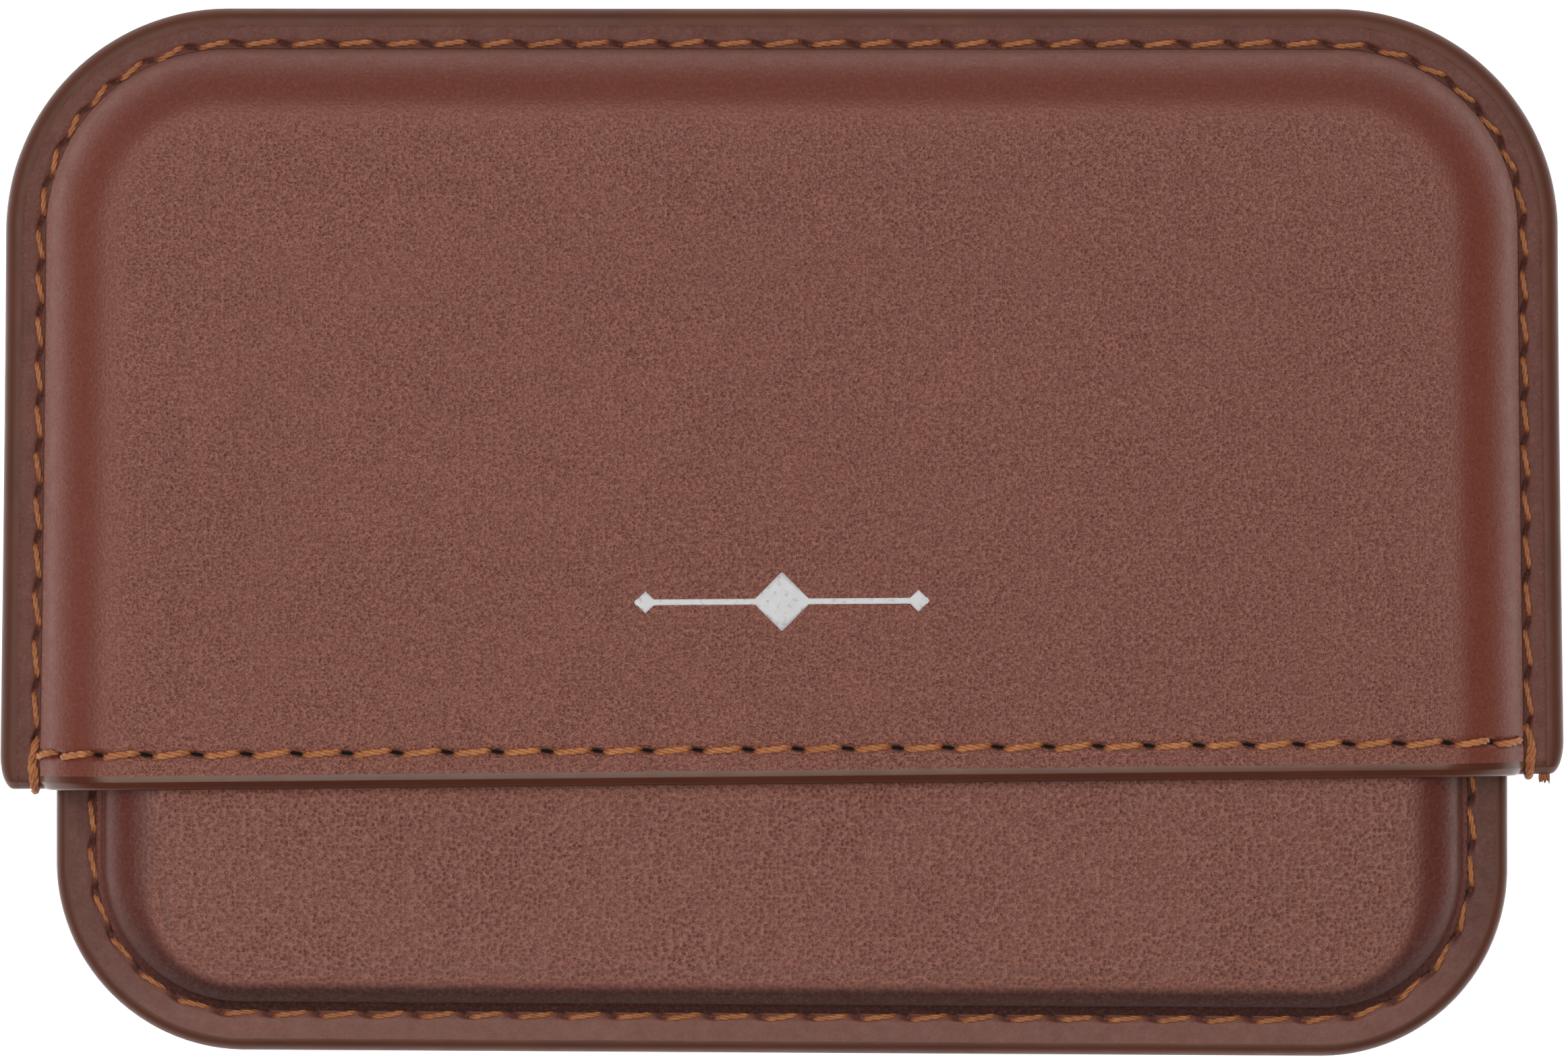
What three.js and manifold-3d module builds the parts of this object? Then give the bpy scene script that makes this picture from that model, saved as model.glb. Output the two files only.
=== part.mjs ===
// Two-part business card case in moulded leather.
//
// A card pouch, open at its top, slides inside a cover, open at its bottom. Each half is two
// moulded leather shells, each lined and stiffened, glued and lockstitched together along a
// flange on three sides. A row of stitches also runs across each free mouth edge.
//
// Millimetres, +Z up. The case lies on its back: X runs across it, +Y points to the closed
// end of the cover, and the cover's back face is at z = 0. The origin is the centre of the
// closed case's base.

import * as THREE from 'three';
import { ParametricGeometry } from 'three/addons/geometries/ParametricGeometry.js';
import { mergeVertices } from 'three/addons/utils/BufferGeometryUtils.js';
import Module from 'manifold-3d';

const wasm = await Module();
wasm.setup();

// ---- Driving dimensions ------------------------------------------------------------------

const CLOSED_LENGTH = 70.9; // closed case, from end to end along Y

// Layers of one shell, from the outside in.
const LEATHER = 0.8;
const GLUE = 0.05;
const LINING = 0.25;
const SHELL = LEATHER + GLUE + LINING;

// The flange: a front and a back shell glued face to face at z = 0 of each half.
const SEAM_GAP = 0.025; // half of the glue line between the two linings
const EDGE_ROUND = 1.05; // width of the rounded, painted edge
const WALL_INSET = 2.8; // from the flange's edge to the foot of the wall
const FOOT_RADIUS = 0.3; // outside radius at the foot of the wall

// Stitching.
const SEAM_INSET = 2.2; // from the flange's edge to the middle of the seam
const MOUTH_ROW_INSET = 2.2; // from a mouth edge to the middle of its row
const THREAD = 0.4;
const THREAD_PROUD = 0.12; // how far the seam thread stands above the flange
const THREAD_GAP = 0.05; // from a thread to the sides of its groove
const GROOVE_DEPTH = 0.3;
const TACK_LENGTH = 3.4; // the last, doubled stitch, back from the mouth
const TACK_WRAP = 0.3; // thickness of the doubled thread where it wraps over the mouth

// Stiffening boards, let into the inside of each leather panel.
const BOARD = 0.3;
const BOARD_POCKET = 0.36;
const BOARD_MARGIN = 1.2; // from the flat of the panel to the board's edge
const BOARD_TO_MOUTH = 4.2;
const BOARD_GAP = 0.05;
const BOARD_CORNER = 4;

// The two halves. length runs from the closed end's flange edge to the mouth, top is the
// height of the face above the seam, shoulder is the width of the rounded shoulder, flare is
// how far each side has spread by the mouth, and facing is the closed end's way along Y.
const COVER = {
  halfWidth: 52.7, length: 52.6, corner: 15.3, top: 6.6, shoulder: 5.7, flare: 0.37, facing: 1,
};
const POUCH = {
  halfWidth: 49.1, length: 53.6, corner: 13, top: 5.25, shoulder: 4, flare: 0, facing: -1,
};

// Foil ornament on the cover's front face.
const FOIL = 0.06;
const FOIL_RECESS = 0.1;
const FOIL_GAP = 0.03;
const FOIL_FROM_MOUTH = 12.4;
const RULE_HALF_LENGTH = 9.9;
const RULE_HALF_HEIGHT = 0.24;
const LOZENGE_HALF = 2;

// Facets.
const CORNER_STEPS = 9;
const SHOULDER_STEPS = 6;
const SMALL_ARC_STEPS = 3;

const FLANGE = SHELL; // half of the flange's thickness
const BEND_INSET = WALL_INSET - FOOT_RADIUS; // centre of the bend at the foot of the wall
const BEND_HEIGHT = FLANGE + FOOT_RADIUS;
const QUARTER = Math.PI / 2;

// ---- Materials ---------------------------------------------------------------------------

const surface = (color, roughness) =>
  new THREE.MeshStandardMaterial({ color, roughness, metalness: 0 });
const leather = surface(0x6b3529, 0.45);
const lining = surface(0x8a5a41, 0.85);
const board = surface(0x9a7a58, 0.9);
const thread = surface(0xa5622f, 0.7);
const foil = surface(0xeeeeec, 0.35);

// ---- Solids ------------------------------------------------------------------------------

// A closed three.js geometry as a manifold-3d solid.
function solid(geometry) {
  const bare = (geometry.index ? geometry.toNonIndexed() : geometry.clone());
  bare.deleteAttribute('normal');
  bare.deleteAttribute('uv');
  const merged = mergeVertices(bare, 1e-4);
  return new wasm.Manifold(new wasm.Mesh({
    numProp: 3,
    vertProperties: merged.attributes.position.array,
    triVerts: new Uint32Array(merged.index.array),
  }));
}

// A manifold-3d solid as a named three.js mesh.
function mesh(name, made, material) {
  const { vertProperties, triVerts } = made.getMesh();
  const geometry = new THREE.BufferGeometry();
  geometry.setAttribute('position', new THREE.BufferAttribute(vertProperties, 3));
  geometry.setIndex(new THREE.BufferAttribute(triVerts, 1));
  geometry.computeVertexNormals();
  const part = new THREE.Mesh(geometry, material);
  part.name = name;
  return part;
}

// An upright prism on a plan outline, between two heights.
function prism(outline, low, high) {
  const geometry = new THREE.ExtrudeGeometry(new THREE.Shape(outline), {
    depth: high - low,
    bevelEnabled: false,
  });
  return solid(geometry.translate(0, 0, low));
}

// A rectangle in plan with rounded corners.
function roundedPlan(halfWidth, low, high, radius) {
  const corners = [[1, high, 0], [-1, high, 1], [-1, low, 2], [1, low, 3]];
  return corners.flatMap(([side, y, turn]) => {
    const x = side * (halfWidth - radius);
    const centre = y === high ? high - radius : low + radius;
    const start = turn * QUARTER;
    return new THREE.EllipseCurve(x, centre, radius, radius, start, start + QUARTER)
      .getPoints(CORNER_STEPS);
  });
}

// ---- Sections ----------------------------------------------------------------------------
//
// A section is a list of points (inset, height): inset is the distance in from the flange's
// outer edge, and height is above the seam. CENTRE stands for the middle of the panel.

const CENTRE = Infinity;
const at = (inset, height) => new THREE.Vector2(inset, height);
const arc = (inset, height, across, up, from, to, steps) =>
  new THREE.EllipseCurve(inset, height, across, up, from, to, from > to).getPoints(steps);

// One face of a shell, at a depth below the outside, from the panel's middle out to the seam.
function shellFace(half, depth) {
  const flat = WALL_INSET + half.shoulder;
  const across = half.shoulder - depth;
  const up = half.top - BEND_HEIGHT - depth;
  const bend = FOOT_RADIUS + depth;
  return [
    at(CENTRE, half.top - depth),
    ...arc(flat, BEND_HEIGHT, across, up, QUARTER, Math.PI, SHOULDER_STEPS),
    ...arc(BEND_INSET, BEND_HEIGHT, bend, bend, 0, -QUARTER, SMALL_ARC_STEPS).slice(1),
  ];
}

// The flange's rounded edge, from its top down to a height above the seam.
function roundedEdge(height) {
  const angle = Math.PI - Math.asin(height / FLANGE);
  return arc(EDGE_ROUND, 0, EDGE_ROUND, FLANGE, QUARTER, angle, SMALL_ARC_STEPS);
}

// The groove that the seam's thread lies in.
function seamGroove() {
  const half = THREAD / 2 + THREAD_GAP;
  const floor = FLANGE - GROOVE_DEPTH;
  return [
    at(SEAM_INSET + half, FLANGE),
    at(SEAM_INSET + half, floor),
    at(SEAM_INSET - half, floor),
    at(SEAM_INSET - half, FLANGE),
  ];
}

function leatherSection(half) {
  const underside = FLANGE - LEATHER;
  return [
    ...shellFace(half, 0),
    ...seamGroove(),
    ...roundedEdge(underside),
    ...shellFace(half, LEATHER).reverse(),
  ];
}

function liningSection(half) {
  const upper = shellFace(half, LEATHER + GLUE);
  const lower = shellFace(half, SHELL).reverse();
  lower[0].y = SEAM_GAP;
  const edge = roundedEdge(LINING).pop().x;
  return [...upper, at(edge, LINING), at(edge, SEAM_GAP), ...lower];
}

// The shell's outside as one full solid down to the seam, sunk by a depth.
function blankSection(half, depth) {
  return [...shellFace(half, depth), at(BEND_INSET, 0), at(CENTRE, 0)];
}

function seamThreadSection() {
  const low = FLANGE - GROOVE_DEPTH + THREAD_GAP;
  const high = FLANGE + THREAD_PROUD;
  const middle = (low + high) / 2;
  const reach = THREAD / 2;
  const shoulder = reach / 2;
  return [
    at(SEAM_INSET + reach, middle),
    at(SEAM_INSET + shoulder, high),
    at(SEAM_INSET - shoulder, high),
    at(SEAM_INSET - reach, middle),
    at(SEAM_INSET - shoulder, low),
    at(SEAM_INSET + shoulder, low),
    at(SEAM_INSET + reach, middle),
  ];
}

// Carries a section round a half's rounded outline. The outline runs on past the mouth, to
// be cut there, and its closed end is at y = 0.
function sweep(half, section) {
  const { halfWidth, length, corner, flare } = half;
  const far = length + 2 * corner;
  const near = halfWidth - corner;
  const spread = near + flare * (far - 2 * corner) / (length - corner);
  const turns = [[near, -corner], [-near, -corner], [-spread, corner - far], [spread, corner - far]];
  const perCorner = CORNER_STEPS + 1;
  const around = 4 * perCorner;
  const along = section.length - 1;
  const place = (u, v, target) => {
    const step = Math.round((1 - u) * around) % around;
    const turn = Math.floor(step / perCorner);
    const angle = (turn + (step % perCorner) / CORNER_STEPS) * QUARTER;
    const point = section[Math.round(v * along)];
    if (point.x === CENTRE) {
      target.set(0, -far / 2, point.y);
      return;
    }
    const [x, y] = turns[turn];
    const radius = corner - point.x;
    target.set(x + radius * Math.cos(angle), y + radius * Math.sin(angle), point.y);
  };
  return solid(new ParametricGeometry(place, around, along));
}

// Everything between two distances from the mouth, measured back towards the closed end.
function acrossMouth(half, near, far) {
  const reach = half.halfWidth + 1;
  const [low, high] = [-half.length + near, -half.length + far];
  const outline = [at(-reach, low), at(reach, low), at(reach, high), at(-reach, high)];
  return prism(outline, -1, half.top + 1);
}

const beyondMouth = (half) => acrossMouth(half, -3 * half.corner, 0);

// A strip that follows the shell between two depths, across the mouth.
function mouthStrip(half, width, shallow, deep) {
  const slab = acrossMouth(half, MOUTH_ROW_INSET - width / 2, MOUTH_ROW_INSET + width / 2);
  const upper = sweep(half, blankSection(half, shallow));
  const lower = sweep(half, blankSection(half, deep));
  const aboveFlange = prism(
    roundedPlan(half.halfWidth, -half.length, 0, half.corner), BEND_HEIGHT, half.top + 1);
  return upper.subtract(lower).intersect(slab).intersect(aboveFlange);
}

// The plan of the stiffening board, grown by a clearance.
function boardPlan(half, grow) {
  const inset = WALL_INSET + half.shoulder + BOARD_MARGIN - grow;
  const low = -half.length + BOARD_TO_MOUTH - grow;
  return roundedPlan(half.halfWidth - inset, low, -inset, BOARD_CORNER);
}

// ---- Pieces of one half ------------------------------------------------------------------

function leatherPanel(half) {
  const pocketRoof = half.top - LEATHER + BOARD_POCKET;
  const pocket = prism(boardPlan(half, BOARD_GAP), BEND_HEIGHT, pocketRoof);
  const groove = mouthStrip(half, THREAD + 2 * THREAD_GAP, -THREAD_GAP, GROOVE_DEPTH);
  return sweep(half, leatherSection(half))
    .subtract(beyondMouth(half))
    .subtract(pocket)
    .subtract(groove);
}

const liningPanel = (half) => sweep(half, liningSection(half)).subtract(beyondMouth(half));

function boardPanel(half) {
  const low = half.top - LEATHER + (BOARD_POCKET - BOARD) / 2;
  return prism(boardPlan(half, 0), low, low + BOARD);
}

const seamThread = (half) => sweep(half, seamThreadSection())
  .subtract(acrossMouth(half, -3 * half.corner, TACK_LENGTH + THREAD_GAP));

const mouthThread = (half) =>
  mouthStrip(half, THREAD, THREAD_GAP / 2, GROOVE_DEPTH - THREAD_GAP);

// The doubled last stitch of a seam: it wraps over the mouth end of the flange, and lies in
// the grooves of both faces. side is -1 or 1 in X.
function barTack(half, side) {
  const low = FLANGE - GROOVE_DEPTH + THREAD_GAP;
  const high = FLANGE + THREAD_PROUD;
  const round = TACK_WRAP / 2;
  const upper = [
    at(-THREAD_GAP, low), at(TACK_LENGTH, low), at(TACK_LENGTH, high), at(-THREAD_GAP, high),
    at(-THREAD_GAP - TACK_WRAP, high - round),
  ];
  const lower = upper.map(({ x, y }) => at(x, -y)).reverse();
  const geometry = new THREE.ExtrudeGeometry(new THREE.Shape([...upper, ...lower]), {
    depth: THREAD,
    bevelEnabled: false,
  });
  geometry.rotateX(QUARTER).rotateZ(QUARTER);
  const x = side * (half.halfWidth + half.flare - SEAM_INSET);
  return solid(geometry.translate(x - THREAD / 2, -half.length, 0));
}

// ---- Foil ornament -----------------------------------------------------------------------

// A thin rule with a lozenge at its middle, grown by a clearance.
function ornamentPlan(grow) {
  const length = RULE_HALF_LENGTH + grow;
  const height = RULE_HALF_HEIGHT + grow;
  const lozenge = LOZENGE_HALF + grow * Math.SQRT2;
  const crossing = lozenge - height;
  const y = -COVER.length + FOIL_FROM_MOUTH;
  return [
    [length, -height], [length, height], [crossing, height], [0, lozenge],
    [-crossing, height], [-length, height], [-length, -height], [-crossing, -height],
    [0, -lozenge], [crossing, -height],
  ].map(([x, dy]) => at(x, y + dy));
}

const foilRecess = () =>
  prism(ornamentPlan(FOIL_GAP), COVER.top - FOIL_RECESS, COVER.top + 1);

function foilOrnament() {
  const low = COVER.top - FOIL_RECESS + (FOIL_RECESS - FOIL) / 2;
  return prism(ornamentPlan(0), low, low + FOIL);
}

// ---- Assembly ----------------------------------------------------------------------------

// The back of a half is its front turned over about Y. The case is the same both ways.
const turnedOver = (made) => made.rotate([0, 180, 0]);

function buildHalf(name, half, frontLeather) {
  const pieces = {
    leather: [leatherPanel(half), leather],
    lining: [liningPanel(half), lining],
    stiffener: [boardPanel(half), board],
    seam_thread: [seamThread(half), thread],
    mouth_thread: [mouthThread(half), thread],
  };
  const group = new THREE.Group();
  for (const [piece, [made, material]] of Object.entries(pieces)) {
    const front = piece === 'leather' ? frontLeather(made) : made;
    group.add(mesh(`${name}_front_${piece}`, front, material));
    group.add(mesh(`${name}_back_${piece}`, turnedOver(made), material));
  }
  for (const [side, direction] of [['left', -1], ['right', 1]]) {
    const tack = barTack(half, direction * half.facing);
    group.add(mesh(`${name}_${side}_bar_tack`, tack, thread));
  }
  group.position.set(0, half.facing * CLOSED_LENGTH / 2, COVER.top);
  group.rotation.z = half.facing > 0 ? 0 : Math.PI;
  return group;
}

const cover = buildHalf('cover', COVER, (made) => made.subtract(foilRecess()));
cover.add(mesh('cover_foil_ornament', foilOrnament(), foil));

const pouch = buildHalf('pouch', POUCH, (made) => made);

const cardCase = new THREE.Group();
cardCase.add(cover, pouch);

export default cardCase;
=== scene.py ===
import math

import bmesh
import bpy
import numpy as np
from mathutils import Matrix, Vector


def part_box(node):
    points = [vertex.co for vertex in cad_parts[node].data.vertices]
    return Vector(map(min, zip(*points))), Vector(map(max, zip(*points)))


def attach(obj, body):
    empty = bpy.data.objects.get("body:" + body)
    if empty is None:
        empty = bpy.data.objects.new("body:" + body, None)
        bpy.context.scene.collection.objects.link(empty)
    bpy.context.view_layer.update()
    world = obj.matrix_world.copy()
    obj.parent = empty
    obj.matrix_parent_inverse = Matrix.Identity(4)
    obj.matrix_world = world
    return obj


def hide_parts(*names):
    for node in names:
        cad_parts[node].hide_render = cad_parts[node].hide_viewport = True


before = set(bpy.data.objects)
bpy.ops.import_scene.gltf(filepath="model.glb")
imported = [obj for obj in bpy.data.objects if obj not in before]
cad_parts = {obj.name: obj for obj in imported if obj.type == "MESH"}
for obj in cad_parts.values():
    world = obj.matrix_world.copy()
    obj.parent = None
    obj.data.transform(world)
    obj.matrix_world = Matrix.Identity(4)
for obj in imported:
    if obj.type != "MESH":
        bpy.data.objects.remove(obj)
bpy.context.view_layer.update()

# Lengths are in millimetres up to mesh_piece(), which writes metres.
#
# A point of a half has a station along the flange's outline, from one mouth corner round the
# closed end to the other, an inset from the outline, a height above the seam and a depth
# below the outside. In a half's own axes its closed end is at y = 0 and its mouth is at
# y = -length.

# ---- Sizes ----

MM = 1000  # in a metre
FLANGE = 1.1  # half of the flange's thickness, and a shell's thickness
MOUTH_ROW = 2.35  # from the mouth to the middle of its row
BEND_RUN = 0.35  # width of the bend at the wall's foot
END_ROUND = (0.95, 2.4)  # the flange's rounded mouth corners, across and along
BEND = 1.4  # height of the bend's centre
TACK = 3.3  # from the mouth to the last seam hole
LIP = 0.95  # how far the mouth's rounded edge reaches back
PLY_TURN = 1.95  # one turn of the thread's twist
PLY, WIND = 0.122, 0.112  # radius of a ply, and of the turn that its middle makes
TACK_PLY, TACK_WIND = 0.14, 0.125
PLIES, TUBE_SIDES, SQUASH = 3, 7, 0.85
TACK_STRANDS = ((2.5, 2.55, 0.07, 0.0), (2.75, 2.3, 0.2, 0.3))  # insets, lift and skew
FIBRES, FIBRE, FIBRE_START, FIBRE_GAP = 15, 0.065, 1.05, 0.045  # the frayed end's
UP = np.array([0.0, 0.0, 1.0])

# Rings of the section, from the outline in: distances past the edge with shares of the dip,
# insets, distances to the wall's foot with heights, and shares of the step with heights.
CREASE_RINGS = ((0.07, 1), (0.13, 0.9), (0.2, 0.3))
FLANGE_RINGS = (0.85, 1.1, 1.35, 1.6, 1.82, 1.98)
SEAM_RINGS = (2.07, 0.062)  # start and gap of the fine rings round the seam
FOOT_RINGS = ((0.08, -0.06), (0.04, 0.0), (0.01, 0.14))
LEDGE_RINGS = ((0.06, 0.2), (0.28, 0.5), (0.55, 0.72), (0.8, 0.82), (0.95, 0.85))
LEDGE_TOP = 0.98

# Stations along the outline.
COARSE_GAP, FINE_GAP = 2.2, 0.62
HOLE_WIDTH, HOLE_FINER = 0.45, 2.6  # width of the finer part at a hole, and how much finer
FINE_STEPS = 8000  # steps in which a spacing is worked out
MOUTH_FINE, MOUTH_CLEAR = 3.2, 3.4  # reach of the finest stations, and start of the others

# Keys that give each row of stitches an unevenness of its own.
BACK_SEAM_KEY, ROW_KEY, BACK_ROW_KEY = 400, 900, 50


def box_mm(node):
    """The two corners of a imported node's box."""
    return [np.array(corner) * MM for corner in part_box(node)]


class Half:
    """One half of the case, measured from its packed leather."""

    def __init__(self, name, facing, **looks):
        low, high = box_mm(f"{name}_front_leather")
        back_high = box_mm(f"{name}_back_leather")[1]
        self.name = name
        self.facing = facing
        self.seam_z = (low[2] + back_high[2]) / 2
        self.width = high[0]
        self.closed_y = high[1] if facing > 0 else low[1]
        vars(self).update(looks)
        self.top = high[2] - self.seam_z - self.slack
        self.length = high[1] - low[1] - self.trim

    def world(self, points, side):
        """Half's own axes to the frame's. side is 1 for the front and -1 for the back."""
        x, y, z = points.T
        along = np.clip(-y / self.length, 0, 1.1)
        at_end, at_mouth = self.slant
        y = y + x * (at_end + (at_mouth - at_end) * along**1.5)
        return np.column_stack([
            self.facing * x,
            self.closed_y + self.facing * y,
            self.seam_z + side * z,
        ])


# corner: the outline's radius. trim: taken off the imported length. flare: each side's spread by
# the mouth. edge, crease: width of the rounded edge, and depth of the dip beside it. seam,
# wall: insets of the seam and the wall's foot. ledge: width of the step there. shoulder,
# taper: its width, and how much narrower it is at the closed end. shade: widths of the dark
# band at the sides and the closed end, partly painted shade. end_shade, end_flange_light: how
# dark the painted shade makes the closed end's wall, and how much paler the flange is there,
# as painted light. slack: how far the flat's border lies under the imported top. crown:
# rise of its middle. slant: skews of the closed end and the mouth. row_pitch, row_short,
# row_proud: the mouth row's pitch, how far it ends short and how far it stands out.
cover = Half(
    "cover", 1, corner=15.1, trim=0.14, flare=0.42, edge=1.08, crease=0.06, seam=2.42,
    wall=2.85, ledge=0.0, shoulder=5.7, taper=0.0, shade=(6.4, 5.8), end_shade=0.25, end_flange_light=0.0,
    slack=0.14, crown=0.14, slant=(-0.0005, 0.0099), row_pitch=3.37, row_short=1.2,
    row_proud=0.2, pitches=(3.6, 3.1, 2.9, 2.65, 3.2, 3.2))
pouch = Half(
    "pouch", -1, corner=12.75, trim=0.0, flare=-0.12, edge=0.75, crease=0.0, seam=2.5,
    wall=2.76, ledge=0.64, shoulder=3.8, taper=0.47, shade=(5.3, 3.6), end_shade=1.0, end_flange_light=0.42,
    slack=0.35, crown=0.05, slant=(-0.0058, 0.0), row_pitch=3.4, row_short=0.0,
    row_proud=0.05, pitches=(3.4, 3.3, 3.2, 3.1, 3.35, 3.35))


# ---- Small helpers ----

def smooth(low, high, value):
    t = np.clip((value - low) / (high - low), 0, 1)
    return t * t * (3 - 2 * t)


def bump(distance, width):
    return np.exp(-((distance / width) ** 2))


def hashed(*keys):
    """A fixed pseudo-random number from -1 to 1 for whole-number keys."""
    value = sum((k + 1) * f for k, f in zip(keys, (12.9898, 78.233, 37.719)))
    return 2 * ((math.sin(value) * 43758.5453) % 1) - 1


def ripple(x, y, scale, seed):
    """A smooth wandering from about -1 to 1, a few scales long."""
    total = 0
    for k in range(5):
        angle = 2.4 * k + seed
        rate = (1 + 0.37 * k) / scale
        phase = 1.7 * seed + 2.1 * k
        total = total + np.sin(rate * (x * math.cos(angle) + y * math.sin(angle)) + phase)
    return total / 5


def spaced(total, fine_at, fine_width, gap):
    """Positions from 0 to total, about gap apart, and closer near the places in fine_at."""
    x = np.linspace(0, total, FINE_STEPS)
    density = np.ones_like(x)
    for place in fine_at:
        density = np.maximum(density, 1 + (HOLE_FINER - 1) * bump(x - place, fine_width))
    filled = np.concatenate([[0], np.cumsum((density[1:] + density[:-1]) / 2)])
    count = max(2, int(round(filled[-1] * (x[1] - x[0]) / gap)))
    return np.interp(np.linspace(0, filled[-1], count + 1), filled, x)


# ---- The outline and its stations ----

class Outline:
    """The flange's outline, sampled at stations. s is the distance along the seam's line."""

    def __init__(self, half, fine=True):
        self.half = half
        side = half.length - half.corner
        bend = (half.corner - half.seam) * math.pi / 2
        across = 2 * (half.width - half.flare - half.corner)
        self.total = 2 * side + 2 * bend + across
        self.parts = (side, bend)
        self.holes = self.hole_places()
        s = self.sample(fine)
        self.s = s
        self.base, self.normal = self.at(s)
        self.mid_left = int(np.argmin(abs(s - (side + bend / 2))))
        self.mid_right = len(s) - 1 - self.mid_left

    def hole_places(self):
        """Seam holes, at the half's pitches: at the mouth, half-way up the side, at the
        corner's start, middle and end, and at the middle of the closed end."""
        side, bend = self.parts
        places = [0, side / 2, side, side + bend / 2, side + bend, self.total / 2]
        s = np.linspace(0, self.total, FINE_STEPS // 2)
        pitch = np.interp(np.minimum(s, self.total - s), places, self.half.pitches)
        filled = np.cumsum(1 / pitch)
        count = round((filled[-1] - filled[0]) * (s[1] - s[0]))
        return np.interp(np.linspace(filled[0], filled[-1], count + 1), filled, s)

    def sample(self, fine):
        """Stations from mouth corner to mouth corner, closer round the holes if fine."""
        side, bend = self.parts
        half_way, corner_mid = self.total / 2, side + bend / 2
        holes = self.holes if fine else []
        gap = FINE_GAP if fine else COARSE_GAP
        left = LIP + spaced(corner_mid - LIP, [h - LIP for h in holes if h < corner_mid],
                            HOLE_WIDTH, gap)
        if fine:
            near = LIP + np.linspace(0, 1, 20)[1:] * MOUTH_FINE
            left = np.concatenate([[LIP], near, left[left > LIP + MOUTH_CLEAR]])
        top_half = corner_mid + spaced(
            half_way - corner_mid,
            [h - corner_mid for h in holes if corner_mid < h < half_way], HOLE_WIDTH, gap)
        one_side = np.concatenate([left[:-1], top_half])
        return np.concatenate([one_side, self.total - one_side[-2::-1]])

    def at(self, s):
        """Points of the outline, and the inward directions there."""
        half = self.half
        side, bend = self.parts
        mirrored = s > self.total / 2
        t = np.where(mirrored, self.total - s, s)
        straight = np.clip(t, 0, side)
        angle = np.clip((t - side) / bend, 0, 1) * math.pi / 2
        run = np.clip(t - side - bend, 0, None)
        near = half.width - half.flare - half.corner
        spread = half.flare * (1 - straight / side) ** 1.3
        x = near + half.corner * np.cos(angle) - run + spread
        y = -half.corner + half.corner * np.sin(angle) - (side - straight)
        flip = np.where(mirrored, 1, -1)
        return (np.column_stack([flip * x, y]),
                np.column_stack([-flip * np.cos(angle), -np.sin(angle)]))


# ---- Sections ----

class Section:
    """Points (inset, height) from the seam to the flat, the direction of depth at each, the
    depth of the mouth's tip, and the run along the surface back from the flat."""

    def __init__(self, half, fine=True):
        self.half = half
        self.flat = half.wall + half.ledge + half.shoulder
        foot = half.wall - BEND_RUN
        edge, crease = half.edge, half.crease
        points = [(edge * (1 - math.cos(angle)),
                   FLANGE * math.sin(angle) - (crease * 0.6 if angle > 1.3 else 0))
                  for angle in np.linspace(0, math.pi / 2, 9 if fine else 4)]
        self.edge_count = len(points)
        if fine and crease:
            points += [(edge + past, FLANGE - crease * dip) for past, dip in CREASE_RINGS]
        if fine:
            seam_start, seam_gap = SEAM_RINGS
            for inset in (*FLANGE_RINGS, *np.arange(seam_start, half.wall - 0.1, seam_gap)):
                if inset > points[-1][0] + 0.05:
                    points.append((inset, FLANGE))
            points += [(half.wall - back, FLANGE + up) for back, up in FOOT_RINGS]
        else:
            points.append((foot, FLANGE))
        self.foot_count = len(points)
        start = BEND
        if half.ledge and fine:
            points += [(half.wall + share * half.ledge, FLANGE + up) for share, up in LEDGE_RINGS]
            start = FLANGE + LEDGE_TOP
        ledge_count = len(points) - self.foot_count
        turns = np.linspace(0, 1, 22 if fine else 7) ** 0.85 * math.pi / 2
        rise = half.top - start
        points += zip(self.flat - half.shoulder * np.cos(turns), start + rise * np.sin(turns))
        self.inset, self.height = np.array(points).T
        down = np.column_stack([np.zeros(self.foot_count), -np.ones(self.foot_count)])
        ledge = np.tile([math.sqrt(0.5), -math.sqrt(0.5)], (ledge_count, 1))
        slope = np.column_stack([np.cos(turns) / half.shoulder, -np.sin(turns) / rise])
        slope /= np.linalg.norm(slope, axis=1)[:, None]
        self.inward = np.vstack([down, ledge, slope])
        bend = smooth(foot - 0.05, half.wall, self.inset)
        angle = -math.pi / 2 + bend * math.pi / 2
        around = np.column_stack([np.cos(angle), np.sin(angle)])
        self.bent = self.inset > foot - 0.05
        in_bend = self.bent & (np.arange(len(self.inset)) < self.foot_count)
        self.inward[in_bend] = around[in_bend]
        self.tip = FLANGE * (1 - 0.5 * bend)
        lengths = np.hypot(np.diff(self.inset), np.diff(self.height))
        self.run = np.concatenate([np.cumsum(lengths[::-1])[::-1], [0]])
        self.tilt = np.concatenate([
            np.zeros(self.foot_count), np.full(ledge_count, 1.2), np.pi / 2 - turns])


# ---- Surfaces ----

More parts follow.
